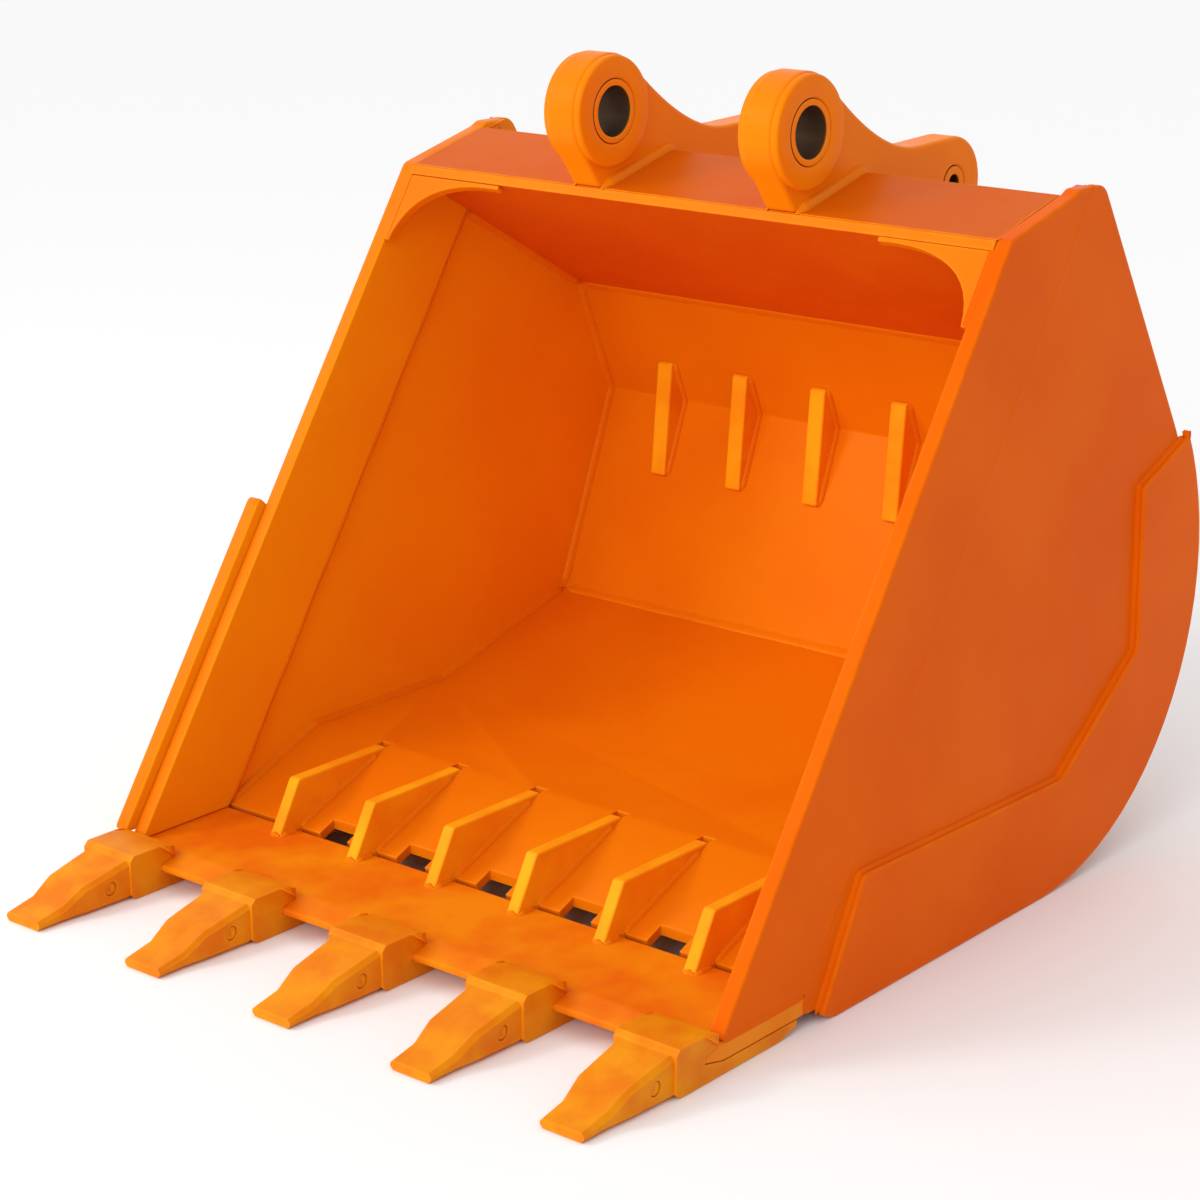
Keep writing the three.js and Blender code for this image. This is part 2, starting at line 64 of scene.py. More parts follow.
def node_arrays(name: str) -> tuple[Array, Array]:
    """Reads a CAD node's vertices and triangles, with doubled vertices merged.

    Args:
        name: The node's name.

    Returns:
        The vertices, (n, 3), and the triangles' vertex numbers, (m, 3).
    """
    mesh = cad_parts[name].data
    places = np.empty(len(mesh.vertices) * 3)
    mesh.vertices.foreach_get("co", places)
    corners = np.empty(len(mesh.loops), dtype=np.int64)
    mesh.loops.foreach_get("vertex_index", corners)
    keys = np.round(places.reshape(-1, 3), 5)
    merged, numbers = np.unique(keys, axis=0, return_inverse=True)
    return merged, numbers.reshape(-1)[corners].reshape(-1, 3)


def side_loops(name: str, x: float | None = None) -> list[Array]:
    """Finds the closed outlines of the flat face that a plate has at one place across the width.

    A boundary edge is an edge of the face's triangles whose reverse belongs to none of them.

    Args:
        name: The node's name.
        x: The face's place across the width; the plate's right-hand face if left out.

    Returns:
        The outlines as (n, 2) arrays of y and z, the longest first, anticlockwise from the right.
    """
    places, triangles = node_arrays(name)
    at = places[:, 0].max() if x is None else x
    flat = triangles[np.all(np.abs(places[triangles][:, :, 0] - at) < 2e-5, axis=1)]
    edges = np.concatenate([flat[:, [0, 1]], flat[:, [1, 2]], flat[:, [2, 0]]])
    known = {(a, b) for a, b in edges.tolist()}
    after = {a: b for a, b in known if (b, a) not in known}
    loops = []
    while after:
        start, here = after.popitem()
        loop = [start]
        while here != start:
            loop.append(here)
            here = after.pop(here)
        loops.append(places[loop][:, 1:])
    loops.sort(key=lambda loop: -path_length(loop))
    return [drop_straight(loop) for loop in loops]


def path_length(path: Array) -> float:
    """Length of an open path, the sum of its steps."""
    return float(np.linalg.norm(np.diff(path, axis=0), axis=1).sum())


def drop_straight(loop: Array, least: float = 1e-4) -> Array:
    """Drops the points of a closed outline where it runs straight on.

    The turn at a point is the cross product of the unit steps before and after it.

    Args:
        loop: The outline, (n, 2).
        least: The smallest turn kept.

    Returns:
        The outline with only its corners.
    """
    before = unit(loop - np.roll(loop, 1, axis=0))
    after = unit(np.roll(loop, -1, axis=0) - loop)
    turn = before[:, 0] * after[:, 1] - before[:, 1] * after[:, 0]
    return loop[np.abs(turn) > least]


def unit(vectors: Array) -> Array:
    """Scales each vector to length one."""
    return vectors / np.maximum(np.linalg.norm(vectors, axis=-1, keepdims=True), 1e-12)


def span(name: str) -> tuple[float, float]:
    """Lowest and highest place of a node across the width."""
    low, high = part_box(name)
    return float(low[0]), float(high[0])


def centre_of(name: str) -> Array:
    """Middle of a node's box."""
    low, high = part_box(name)
    return (np.array(low) + np.array(high)) / 2


# ---------------------------------------------------------------- making meshes

def make_piece(name: str, places: Array, faces: Sequence[Sequence[int]],
               material: bpy.types.Material, smooth: Array | bool = True) -> bpy.types.Object:
    """Puts vertices and faces into a new object at the origin.

    Args:
        name: The piece's name.
        places: The vertices, (n, 3).
        faces: The faces' vertex numbers.
        material: Its material.
        smooth: One truth value per face, or one for all.

    Returns:
        The new object.
    """
    mesh = bpy.data.meshes.new(name)
    mesh.from_pydata(places.tolist(), [], [list(face) for face in faces])
    flags = np.full(len(mesh.polygons), smooth) if isinstance(smooth, bool) else np.asarray(smooth)
    mesh.polygons.foreach_set("use_smooth", flags.astype(bool))
    mesh.materials.append(material)
    mesh.update()
    piece = bpy.data.objects.new(name, mesh)
    bpy.context.scene.collection.objects.link(piece)
    return piece


def grid_faces(rows: int, columns: int, closed: bool = True, start: int = 0) -> Array:
    """Quads between neighbouring rows of a grid of points.

    Args:
        rows: Number of rows.
        columns: Points in a row.
        closed: Whether the last point of a row joins the first.
        start: Number of the first vertex.

    Returns:
        The quads' vertex numbers, (n, 4).
    """
    across = np.arange(columns if closed else columns - 1)
    down = np.arange(rows - 1)[:, None]
    here = down * columns + across
    beside = down * columns + (across + 1) % columns
    quads = np.stack([here, beside, beside + columns, here + columns], axis=-1)
    return quads.reshape(-1, 4) + start


def soften(loop: Array, radius: float, steps: int = 5) -> Array:
    """Rounds every corner of a closed outline.

    Each corner V becomes the curve (1-t)^2 A + 2t(1-t) V + t^2 B, where A and B lie before and
    after it by the radius, or by a little under half of the shorter edge. A point just outside
    A and B keeps the straight stretches straight when they are shaded.

    Args:
        loop: The outline, (n, 2).
        radius: How far the rounding reaches along the edges.
        steps: Steps along each rounded corner.

    Returns:
        The rounded outline.
    """
    to_before = np.roll(loop, 1, axis=0) - loop
    to_after = np.roll(loop, -1, axis=0) - loop
    shorter = np.minimum(np.linalg.norm(to_before, axis=1), np.linalg.norm(to_after, axis=1))
    reach = np.minimum(radius, 0.36 * shorter)[:, None]
    hold = np.minimum(1.35 * reach, 0.46 * shorter[:, None])
    t = np.linspace(0.0, 1.0, steps + 1)[None, :, None]
    a = (loop + unit(to_before) * reach)[:, None, :]
    b = (loop + unit(to_after) * reach)[:, None, :]
    curve = (1 - t) ** 2 * a + 2 * t * (1 - t) * loop[:, None, :] + t ** 2 * b
    first = (loop + unit(to_before) * hold)[:, None, :]
    last = (loop + unit(to_after) * hold)[:, None, :]
    return np.concatenate([first, curve, last], axis=1).reshape(-1, 2)


def inset(loop: Array, distance: Array) -> Array:
    """Moves a closed outline inwards, keeping its sides parallel.

    A point moves along the sum of the inward normals of its two sides, divided by one plus
    their dot product.

    Args:
        loop: The outline, (n, 2), anticlockwise.
        distance: The distances, (m,).

    Returns:
        One outline per distance, (m, n, 2).
    """
    ahead = unit(np.roll(loop, -1, axis=0) - loop)
    normal_after = np.stack([-ahead[:, 1], ahead[:, 0]], axis=1)
    normal_before = np.roll(normal_after, 1, axis=0)
    scale = 1.0 + np.sum(normal_after * normal_before, axis=1, keepdims=True)
    move = (normal_after + normal_before) / np.maximum(scale, 0.3)
    return loop[None] + np.asarray(distance)[:, None, None] * move[None]


def edge_profile(x0: float, x1: float, radius: float, steps: int) -> tuple[Array, Array]:
    """The rounded edge of a plate, from one face to the other.

    Places across the width are x0 + r(1 - cos a) and x1 - r(1 - cos a), and the insets are
    r(1 - sin a), for a from 0 to a quarter turn.

    Args:
        x0: One face.
        x1: The other face.
        radius: The rounding's radius.
        steps: Steps round each edge.

    Returns:
        The places across the width and the insets.
    """
    a = np.linspace(0.0, math.pi / 2, steps + 1)
    rise = radius * (1 - np.cos(a))
    depth = radius * (1 - np.sin(a))
    hold = min(radius * 0.5, (x1 - x0) / 2 - radius)
    x = np.concatenate([x0 + rise, [x0 + radius + hold, x1 - radius - hold], x1 - rise[::-1]])
    return x, np.concatenate([depth, [0.0, 0.0], depth[::-1]])


@dataclass
class RoundedPlate:
    """A flat plate across the width with rounded edges, cut from closed outlines.

    The loops' corners are rounded. The holes keep their outline, clockwise from the right.
    """

    name: str
    loops: list[Array]
    x0: float
    x1: float
    edge: float = 0.002
    corner: float = 0.004
    steps: int = 3
    holes: Sequence[Array] = ()

    def arrays(self) -> tuple[Array, list[list[int]], Array]:
        """Works out the plate's surface.

        Returns:
            The vertices, the faces and whether each face is shaded smooth.
        """
        x, depth = edge_profile(self.x0, self.x1, self.edge, self.steps)
        places, faces, smooth, caps = [], [], [], []
        start = 0
        for rim in [*(soften(loop, self.corner) for loop in self.loops), *self.holes]:
            rings = inset(rim, depth)
            across = np.broadcast_to(x[:, None, None], (*rings.shape[:2], 1))
            places.append(np.concatenate([across, rings], axis=2).reshape(-1, 3))
            quads = grid_faces(len(x), len(rim), start=start)
            faces.extend(quads.tolist())
            smooth.extend([True] * len(quads))
            caps.append((start, start + (len(x) - 1) * len(rim), len(rim)))
            start += len(x) * len(rim)
        everything = np.concatenate(places)
        for end, sign in ((0, -1.0), (1, 1.0)):
            numbers = [np.arange(cap[end], cap[end] + cap[2]) for cap in caps]
            # The plane alters how the triangles fall, so each kind of plate keeps its own.
            flat = [[Vector((*p, 0.0) if self.holes else (0.0, *p)) for p in everything[ids][:, 1:]]
                    for ids in numbers]
            triangles = np.concatenate(numbers)[np.array(tessellate_polygon(flat))]
            kept = facing(everything, triangles, sign).tolist()
            faces.extend(kept)
            smooth.extend([False] * len(kept))
        return everything, faces, np.array(smooth)

    def build(self, material: bpy.types.Material, nodes: Sequence[str]) -> bpy.types.Object:
        """Makes the piece, which stands for CAD nodes and rides on the bucket.

        Args:
            material: Its material.
            nodes: The CAD nodes that it stands for.

        Returns:
            The new object.
        """
        places, faces, smooth = self.arrays()
        piece = make_piece(self.name, places, faces, material, smooth)
        return register(piece, nodes, BODY)


def facing(places: Array, triangles: Array, sign: float) -> Array:
    """Turns triangles so that each one's normal points along X with the given sign."""
    a, b, c = (places[triangles[:, i]] for i in range(3))
    normal = np.cross(b - a, c - a)[:, 0]
    wrong = normal * sign < 0
    triangles = triangles.copy()
    triangles[wrong] = triangles[wrong][:, ::-1]
    return triangles[np.abs(normal) > 1e-14]


def paint_ends(piece: bpy.types.Object, low: float, high: float, paint: bpy.types.Material,
               bore: float = 0.0) -> None:
    """Paints a turned part's end faces, as a part that is sprayed in place has them.

    A face is painted where its middle is nearer than a millimetre and a half to either end.

    Args:
        piece: The turned part.
        low: Its lowest place across the width.
        high: Its highest place across the width.
        paint: The paint.
        bore: How deep the paint reaches into the part from its ends.
    """
    mesh = piece.data
    mesh.materials.append(paint)
    centres = np.empty(len(mesh.polygons) * 3)
    mesh.polygons.foreach_get("center", centres)
    x = centres.reshape(-1, 3)[:, 0]
    near = np.minimum(x - low, high - x) < 0.0015 + bore
    mesh.polygons.foreach_set("material_index", near.astype(np.int32))


def paint_side(piece: bpy.types.Object, toward: tuple[float, float, float],
               paint: bpy.types.Material) -> None:
    """Gives the faces that look one way a second paint, for painted light and painted shade that
    fall on one side of a piece.

    A face is painted where its normal makes less than 60 degrees with that way.

    Args:
        piece: The piece.
        toward: The way the faces look, of length 1.
        paint: Their paint.
    """
    mesh = piece.data
    mesh.materials.append(paint)
    normals = np.empty(len(mesh.polygons) * 3)
    mesh.polygons.foreach_get("normal", normals)
    there = normals.reshape(-1, 3) @ np.asarray(toward) > STEEP
    mesh.polygons.foreach_set("material_index", there.astype(np.int32))


def register(piece: bpy.types.Object, nodes: Sequence[str],
             body: str) -> bpy.types.Object:
    """Ties a piece to its body, hides the CAD nodes that it stands for, and reports it."""
    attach(piece, body)
    if nodes:
        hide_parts(*nodes)
    log.info("%s: %d faces", piece.name, len(piece.data.polygons))
    return piece


# ---------------------------------------------------------------- finishes

def ranged(nodes: bpy.types.Nodes, links: bpy.types.NodeLinks, value: bpy.types.NodeSocket,
           source: tuple[float, float], target: tuple[float, float]) -> bpy.types.NodeSocket:
    """Maps a value from one range to another and returns the result's socket."""
    node = nodes.new("ShaderNodeMapRange")
    names = ("From Min", "From Max", "To Min", "To Max")
    for name, number in zip(names, (*source, *target)):
        node.inputs[name].default_value = number
    links.new(value, node.inputs["Value"])
    return node.outputs["Result"]


def bumped(nodes: bpy.types.Nodes, links: bpy.types.NodeLinks, height: bpy.types.NodeSocket,
           strength: float, distance: float) -> bpy.types.Node:
    """Adds a Bump node on a height."""
    node = nodes.new("ShaderNodeBump")
    node.inputs["Strength"].default_value = strength
    node.inputs["Distance"].default_value = distance
    links.new(height, node.inputs["Height"])
    return node


class Gloss(Enum):
    """How shiny a coat of paint is."""

    WET = 0.22
    GLOSS = 0.30
    SATIN = 0.42


@dataclass(frozen=True)
class Paint:
    """Sprayed enamel on plate steel, with orange peel, a mottled tone and dust."""

    name: str
    colour: tuple[float, float, float]
    deep: tuple[float, float, float]
    gloss: Gloss = Gloss.GLOSS
    peel: float = 0.06
    dust: float = 0.12
    cast: float = 0.0
    shine: float = 0.12
    mottle: float = 3.2
    # wear and edge_colour set the lighter edges: partly worn paint, partly a painted highlight.
    wear: float = 0.55
    edge_colour: tuple[float, float, float] = (0.88, 0.30, 0.010)

    def material(self) -> bpy.types.Material:
        """Builds the node material.

        Returns:
            The finished material.
        """
        mat = bpy.data.materials.new(self.name)
        mat.use_nodes = True
        nodes, links = mat.node_tree.nodes, mat.node_tree.links
        shader = nodes["Principled BSDF"]
        coords = nodes.new("ShaderNodeTexCoord").outputs["Object"]

        mottle = self.noise(nodes, links, coords, self.mottle, 5.0)
        tint = nodes.new("ShaderNodeValToRGB")
        low, high = tint.color_ramp.elements
        low.position, high.position = 0.36, 0.62
        low.color, high.color = (*self.deep, 1.0), (*self.colour, 1.0)
        links.new(mottle, tint.inputs["Fac"])
        # Mixes toward the edge colour along the edges: worn paint and a painted highlight.
        worn = nodes.new("ShaderNodeMix")
        worn.data_type = "RGBA"
        worn.inputs["B"].default_value = (*self.edge_colour, 1.0)
        links.new(tint.outputs["Color"], worn.inputs["A"])
        links.new(self.edges(nodes, links, coords), worn.inputs["Factor"])
        links.new(worn.outputs["Result"], shader.inputs["Base Color"])

        smear = self.noise(nodes, links, coords, 11.0, 6.0)
        rough = ranged(nodes, links, smear, (0.3, 0.7),
                       (self.gloss.value, self.gloss.value + self.dust))
        links.new(rough, shader.inputs["Roughness"])

        last = peel = bumped(nodes, links, self.noise(nodes, links, coords, 240.0, 2.0),
                             self.peel, 0.001)
        if self.cast:
            last = bumped(nodes, links, self.noise(nodes, links, coords, 55.0, 5.0),
                          self.cast, 0.003)
            links.new(peel.outputs["Normal"], last.inputs["Normal"])
        links.new(last.outputs["Normal"], shader.inputs["Normal"])
        shader.inputs["Specular IOR Level"].default_value = self.shine
        shader.inputs["Specular Tint"].default_value = (1.0, 0.62, 0.28, 1.0)
        return mat

    def edges(self, nodes: bpy.types.Nodes, links: bpy.types.NodeLinks,
              coords: bpy.types.NodeSocket) -> bpy.types.NodeSocket:
        """Finds the edges, which are lightened both as paint worn thin and as a painted highlight
        along lit edges.

        The mask grows as the dot product of the true and the softened normal falls, and a noise
        breaks it up.

        Args:
            nodes: The material's nodes.
            links: Its links.
            coords: The object's own coordinates.

        Returns:
            The mask's socket.
        """
        soft = nodes.new("ShaderNodeBevel")
        soft.samples = 4
        soft.inputs["Radius"].default_value = 0.006
        true = nodes.new("ShaderNodeNewGeometry")
        dot = nodes.new("ShaderNodeVectorMath")
        dot.operation = "DOT_PRODUCT"
        links.new(soft.outputs["Normal"], dot.inputs[0])
        links.new(true.outputs["Normal"], dot.inputs[1])
        mask = ranged(nodes, links, dot.outputs["Value"], (0.995, 0.90), (0.0, 1.0))
        broken = ranged(nodes, links, self.noise(nodes, links, coords, 26.0, 4.0), (0.35, 0.60),
                        (0.35 * self.wear, self.wear))
        both = nodes.new("ShaderNodeMath")
        both.operation = "MULTIPLY"
        links.new(mask, both.inputs[0])
        links.new(broken, both.inputs[1])
        return both.outputs["Value"]

    @staticmethod
    def noise(nodes: bpy.types.Nodes, links: bpy.types.NodeLinks, coords: bpy.types.NodeSocket,
              scale: float, detail: float) -> bpy.types.NodeSocket:
        """Adds a noise on the object's own coordinates and returns its value socket."""
        noise = nodes.new("ShaderNodeTexNoise")
        noise.inputs["Scale"].default_value = scale
        noise.inputs["Detail"].default_value = detail
        links.new(coords, noise.inputs["Vector"])
        return noise.outputs["Fac"]


# ---------------------------------------------------------------- weld beads

def stations(path: Array, first: Array, second: Array, step: float,
             least: int) -> tuple[Array, Array, Array, Array]:
    """Spreads stations evenly along a path, with the two directions at each.

    Args:
        path: The path, (n, 3).
        first: One direction at each point, (n, 3).
        second: Another, (n, 3).
        step: Distance between stations.
        least: The fewest stations.

    Returns:
        The distance of each station along the path, its place and its two unit directions.
    """
    steps = np.linalg.norm(np.diff(path, axis=0), axis=1)
    along = np.concatenate([[0.0], np.cumsum(steps)])
    s = np.linspace(0.0, along[-1], max(least, int(along[-1] / step)))
    p, u, v = (np.stack([np.interp(s, along, part[:, i]) for i in range(3)], axis=1)
               for part in (path, first, second))
    return s, p, unit(u), unit(v)


@dataclass(frozen=True)
class Bead:
    """A convex fillet weld with ripples, laid along a path between two faces.

    At each station the bead's skin is p + leg (u cos^q a + v sin^q a), where u and v lie on the two
    faces and a runs over a quarter turn. The leg swells and shrinks with the ripples, whose crests
    bend backwards in the middle of the bead.
    """

    leg: float = 0.008
    ripple: float = 0.007
    swell: float = 0.09
    drift: float = 0.07
    bulge: float = 1.25
    points: int = 6
    per_ripple: int = 4
    bury: float = 0.0012
    end: float = 1.8

    def skin(self, path: Array, u: Array, v: Array) -> tuple[Array, Array]:
        """Works out one bead.

        Args:
            path: The corner line, (n, 3).
            u: Direction along the first face at each point, (n, 3).
            v: Direction along the second face at each point, (n, 3).

        Returns:
            The vertices and the quads of the bead, with its two ends closed to a point.
        """
        s, p, u, v = stations(path, u, v, self.ripple / self.per_ripple, 4)
        a = np.linspace(0.0, math.pi / 2, self.points)
        phase = s[:, None] / self.ripple + 0.35 * np.sin(2 * a)[None, :]
        wave = 1.0 + self.swell * (np.abs(np.sin(math.pi * phase)) - 0.5)
        drift = 1.0 + self.drift * np.sin(s * 31.0 + s[-1] * 57.0)[:, None]
        from_end = np.minimum(s, s[-1] - s) / (self.end * self.leg)
        taper = np.clip(from_end, 0.0, 1.0)[:, None] ** 0.8
        leg = self.leg * wave * drift * taper
        skin = (p[:, None, :]
                + u[:, None, :] * (leg * np.cos(a)[None, :] ** self.bulge)[:, :, None]
                + v[:, None, :] * (leg * np.sin(a)[None, :] ** self.bulge)[:, :, None])
        under = p[:, None, :] - self.bury * (u + v)[:, None, :]
        first = skin[:, :1] - self.bury * v[:, None, :]
        last = skin[:, -1:] - self.bury * u[:, None, :]
        rings = np.concatenate([first, skin, last, under], axis=1)
        rings[0] = rings[0].mean(axis=0)
        rings[-1] = rings[-1].mean(axis=0)
        quads = grid_faces(len(rings), rings.shape[1])
        outward = np.einsum("ij,ij->i", np.cross(u, v), np.gradient(p, axis=0))
        return rings.reshape(-1, 3), quads if outward.mean() < 0 else quads[:, ::-1]


@dataclass(frozen=True)
class FlushSeam:
    """A low bead, ground nearly flush, that fills a joint between two plates in one plane.

    At each station the skin is p + w u width/2 + n rise (1 - u^2), for u from -1 to 1, where w
    lies across the joint and n stands off the plates.
    """

    width: float = 0.012
    rise: float = 0.0005
    depth: float = 0.002
    ripple: float = 0.008
    per_ripple: int = 4
    points: int = 9

    def skin(self, path: Array, w: Array, n: Array) -> tuple[Array, Array]:
        """Works out one seam, its ends faded to nothing.

        Args:
            path: The joint, (n, 3).
            w: Direction across the joint at each point, (n, 3).
            n: Direction off the plates at each point, (n, 3).

        Returns:
            The vertices and the quads.
        """
        s, p, w, n = stations(path, w, n, self.ripple / self.per_ripple, 6)
        u = np.linspace(-1.0, 1.0, self.points)
        fade = np.clip(np.minimum(s, s[-1] - s) / self.width, 0.0, 1.0)
        rise = self.rise * fade * (1.0 + 0.3 * np.sin(2 * math.pi * s / self.ripple))
        skin = (p[:, None, :] + w[:, None, :] * (u * self.width / 2)[None, :, None]
                + n[:, None, :] * (rise[:, None] * (1 - u[None, :] ** 2) - 0.0001)[:, :, None])
        root = (p[:, None, :] + w[:, None, :] * (u[::-1] * self.width * 0.05)[None, :, None]
                - n[:, None, :] * self.depth)
        rings = np.concatenate([skin, root], axis=1)
        rings[0], rings[-1] = rings[0].mean(axis=0), rings[-1].mean(axis=0)
        quads = grid_faces(len(rings), rings.shape[1])
        turned = np.einsum("ij,ij->i", np.cross(np.gradient(p, axis=0), w), n).mean() > 0
        return rings.reshape(-1, 3), quads if turned else quads[:, ::-1]


@dataclass
class WeldRun:
    """Several beads that make one piece."""

    name: str
    bead: Bead | FlushSeam

    def __post_init__(self) -> None:
        """Starts with no beads."""
        self.parts: list[tuple[Array, Array]] = []

    def add(self, path: Array, u: Array, v: Array) -> None:
        """Lays one bead; u and v are one direction each, or one per point of the path."""
        path = np.asarray(path, dtype=float)
        u, v = (np.broadcast_to(np.asarray(d, dtype=float), path.shape) for d in (u, v))
        self.parts.append(self.bead.skin(path, u, v))

    def in_plane(self, path: Array, x: float, side: float, turn: float) -> None:
        """Lays a bead along a path in the plane of a plate's face.

        Args:
            path: The path, (n, 2), as y and z.
            x: The face's place across the width.
            side: Which way the other face stands off, +1 for +X.
            turn: +1 to lie left of the path, seen from the right-hand side, and -1 for right of it.
        """
        path = refine(path)
        ahead = unit(np.gradient(path, axis=0))
        normal = np.stack([np.zeros(len(path)), -ahead[:, 1], ahead[:, 0]], axis=1) * turn
        places = np.column_stack([np.full(len(path), x), path])
        self.add(places, (side, 0.0, 0.0), normal)

    def build(self, material: bpy.types.Material, slot: str = PAINTED) -> bpy.types.Object:
        """Makes the piece from its beads."""
        counts = np.cumsum([0] + [len(p) for p, _ in self.parts])
        places = np.concatenate([p for p, _ in self.parts])
        faces = np.concatenate([q + n for (_, q), n in zip(self.parts, counts)])
        return register(make_piece(self.name, places, faces.tolist(), material), (), BODY)


def refine(path: Array, step: float = 0.004) -> Array:
    """Resamples an open path at even steps, with its corners eased over two steps.

    Args:
        path: The path, (n, k).
        step: The spacing.

    Returns:
        The even path.
    """
    lengths = np.linalg.norm(np.diff(path, axis=0), axis=1)
    along = np.concatenate([[0.0], np.cumsum(lengths)])
    s = np.linspace(0.0, along[-1], max(3, int(along[-1] / step)))
    even = np.stack([np.interp(s, along, path[:, i]) for i in range(path.shape[1])], axis=1)
    eased = even.copy()
    eased[1:-1] = (even[:-2] + 2 * even[1:-1] + even[2:]) / 4
    return eased


# ---------------------------------------------------------------- turned shapes

def lathe(x: Array, radius: Array, centre: Array, sides: int = 96) -> tuple[Array, Array]:
    """Turns a closed profile about an axis that runs across the width.

    A point is (x, cy + r cos a, cz + r sin a), with x and r along the profile and a round the axis.

    Args:
        x: The profile's places across the width.
        radius: Its distances from the axis.
        centre: The axis, as (x, y, z), of which y and z count.
        sides: Steps round the axis.

    Returns:
        The vertices and the quads, which face outwards if the profile runs anticlockwise in x, r.
    """
    a = np.linspace(0.0, 2 * math.pi, sides, endpoint=False)
    grid = np.stack([
        np.broadcast_to(x[:, None], (len(x), sides)),
        centre[1] + radius[:, None] * np.cos(a)[None, :],
        centre[2] + radius[:, None] * np.sin(a)[None, :],
    ], axis=-1)
    rows = np.concatenate([grid, grid[:1]], axis=0)
    quads = grid_faces(len(rows), sides)
    wrapped = np.where(quads >= len(x) * sides, quads - len(x) * sides, quads)
    return grid.reshape(-1, 3), wrapped[:, ::-1]


def ring_profile(x0: float, x1: float, inner: float, outer: float, edge: float,
                 steps: int = 4) -> tuple[Array, Array]:
    """Profile of a ring with rounded edges, run anticlockwise in x, r.

    Each corner is a quarter circle of the edge radius about a point set in by that radius.

    Args:
        x0: One end face.
        x1: The other end face.
        inner: The bore's radius.
        outer: The outside radius.
        edge: The rounding's radius.
        steps: Steps round each corner.

    Returns:
        The profile's places across the width and its radii.
    """
    corners = [(x0, inner, math.pi), (x1, inner, 1.5 * math.pi), (x1, outer, 0.0),
               (x0, outer, 0.5 * math.pi)]
    xs, rs = [], []
    for cx, cr, start in corners:
        a = np.linspace(start, start + math.pi / 2, steps + 1)
        mx = cx + edge if cx == x0 else cx - edge
        mr = cr + edge if cr == inner else cr - edge
        xs.append(mx + edge * np.cos(a))
        rs.append(mr + edge * np.sin(a))
    return np.concatenate(xs), np.concatenate(rs)


def soft_copy(name: str, piece_name: str, material: bpy.types.Material,
              edge: float) -> bpy.types.Object:
    """Copies a CAD node as whole faces and rounds its edges with a Bevel.

    Args:
        name: The CAD node.
        piece_name: The new piece's name.
        material: Its material.
        edge: The rounding's width.

    Returns:
        The new object.
    """
    places, triangles = node_arrays(name)
    piece = make_piece(piece_name, places, triangles.tolist(), material)
    shape = bmesh.new()
    shape.from_mesh(piece.data)
    bmesh.ops.dissolve_limit(shape, angle_limit=math.radians(0.4), verts=shape.verts,
                             edges=shape.edges)
    shape.to_mesh(piece.data)
    shape.free()
    bevel = piece.modifiers.new("edge", "BEVEL")
    bevel.width = edge
    bevel.segments = 3
    bevel.limit_method = "ANGLE"
    bevel.angle_limit = math.radians(25)
    bevel.harden_normals = True
    return piece


# ---------------------------------------------------------------- the sub-assemblies

@dataclass
class Sides:
    """The two side plates, their thick front bars and the wear plates round the heel."""

    paints: dict[str, bpy.types.Material]
    inner: dict[str, bpy.types.Material]
    plate_edge: float = 0.0015
    bar_edge: float = 0.004
    wear_edge: float = 0.004
    cutter_edge: float = 0.005

    def build(self) -> None:
        """Builds both sides and the cutter."""
        for label in ("left", "right"):
            self.plate(f"side_plate_{label}", label, self.plate_edge, 0.010)
            self.plate(f"side_bar_{label}", label, self.bar_edge, 0.008)
            self.plate(f"heel_wear_plate_{label}", label, self.wear_edge, 0.010)
        self.plate("side_cutter_left", "left", self.cutter_edge, 0.014)

    def plate(self, node: str, label: str, edge: float, corner: float) -> None:
        """Stands a rounded plate in for a CAD plate."""
        x0, x1 = span(node)
        plate = RoundedPlate(f"{node}_shape", side_loops(node), x0, x1, edge, corner)
        piece = plate.build(self.paints[label], [node])
        # On the left the inner faces get a painted light; on the right all faces but the inner ones
        # get a painted shade.
        paint_side(piece, (1.0 if label == "left" else -1.0, 0.0, 0.0), self.inner[label])


def seam_line(label: str) -> tuple[Array, Array, Array]:
    """Finds the joint between a side plate and its bar on the side.

    The bar's outline has its joint edge as the longest edge of the half that faces the heel.

    Args:
        label: left or right.

    Returns:
        The joint's top and foot as (y, z), and the unit vector from the bar into the plate.
    """
    loop = side_loops(f"side_bar_{label}")[0]
    after = np.roll(loop, -1, axis=0)
    lengths = np.linalg.norm(after - loop, axis=1)
    longest = np.argsort(-lengths)[:2]
    pick = max(longest, key=lambda i: (loop[i] + after[i])[0])
    ends = sorted((loop[pick], after[pick]), key=lambda p: -p[1])
    down = unit(ends[1] - ends[0])
    return ends[0], ends[1], np.array([-down[1], down[0]])


@dataclass
class Shell:
    """Floor, back, torque tube and top plates between the sides, and the cutting lip."""

    paint: bpy.types.Material
    painted_shades: dict[str, tuple[tuple[float, float, float], bpy.types.Material]]
    worn: bpy.types.Material
    edge: float = 0.0015
    lip_edge: float = 0.004
    lip_corner: float = 0.006
    gusset_edge: float = 0.003

    def build(self) -> None:
        """Builds the four bent plates and the lip."""
        for node in ("floor_plate", "back_plate", "torque_tube_plate", "top_plate"):
            piece = soft_copy(node, f"{node}_shape", self.paint, self.edge)
            # Faces that look one way get a darker copy of the enamel, a painted shade.
            if node in self.painted_shades:
                paint_side(piece, *self.painted_shades[node])
            register(piece, [node], BODY)
        x0, x1 = span("lip_plate")
        lip = RoundedPlate("lip_plate_shape", side_loops("lip_plate"), x0, x1,
                           self.lip_edge, self.lip_corner)
        lip.build(self.worn, ["lip_plate"])
        for label in ("left", "right"):
            node = f"corner_gusset_{label}"
            piece = soft_copy(node, f"{node}_shape", self.paint, self.gusset_edge)
            register(piece, [node], BODY)


